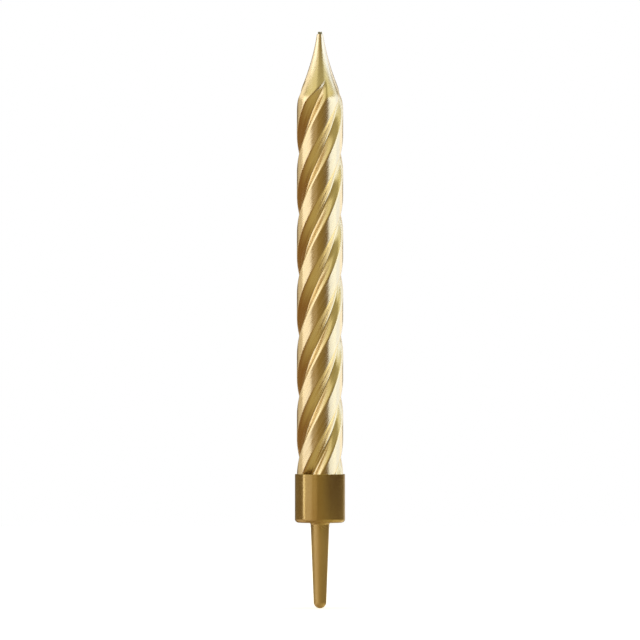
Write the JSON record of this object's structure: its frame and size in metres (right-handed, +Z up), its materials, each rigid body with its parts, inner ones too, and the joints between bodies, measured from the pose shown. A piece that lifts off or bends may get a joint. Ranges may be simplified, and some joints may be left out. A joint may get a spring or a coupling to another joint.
{
  "type": "spiral birthday candle",
  "caption": "Slim twisted gold cake candle with a fluted wax body, cotton wick and pointed tip, pushed into a plastic cup holder with a spike that stands it in a cake.",
  "frame": {"origin": "centre of the cup's flat underside, where the spike leaves it and where it meets the top of the cake", "axes": "+Z up along the candle's axis from the holder to the wick, +X to the viewer's right and -Y towards the viewer"},
  "size_m": [0.0065, 0.0064, 0.0747],
  "materials": {
    "gold_wax": "metallic gold lacquer over paraffin wax, fine drawing lines along the flutes",
    "wick_cotton": "braided cotton, waxed, cut square",
    "holder_plastic": "glossy old-gold polypropylene, coloured right through"
  },
  "bodies": {
    "holder": {"holder": "holder_plastic"},
    "candle": {"wax_body": "gold_wax", "wick": "wick_cotton"}
  },
  "joints": [
    {"name": "candle_lift", "type": "slide", "parent": "holder", "child": "candle", "axis": [0, 0, 1], "range_m": [0, 0.01]}
  ]
}
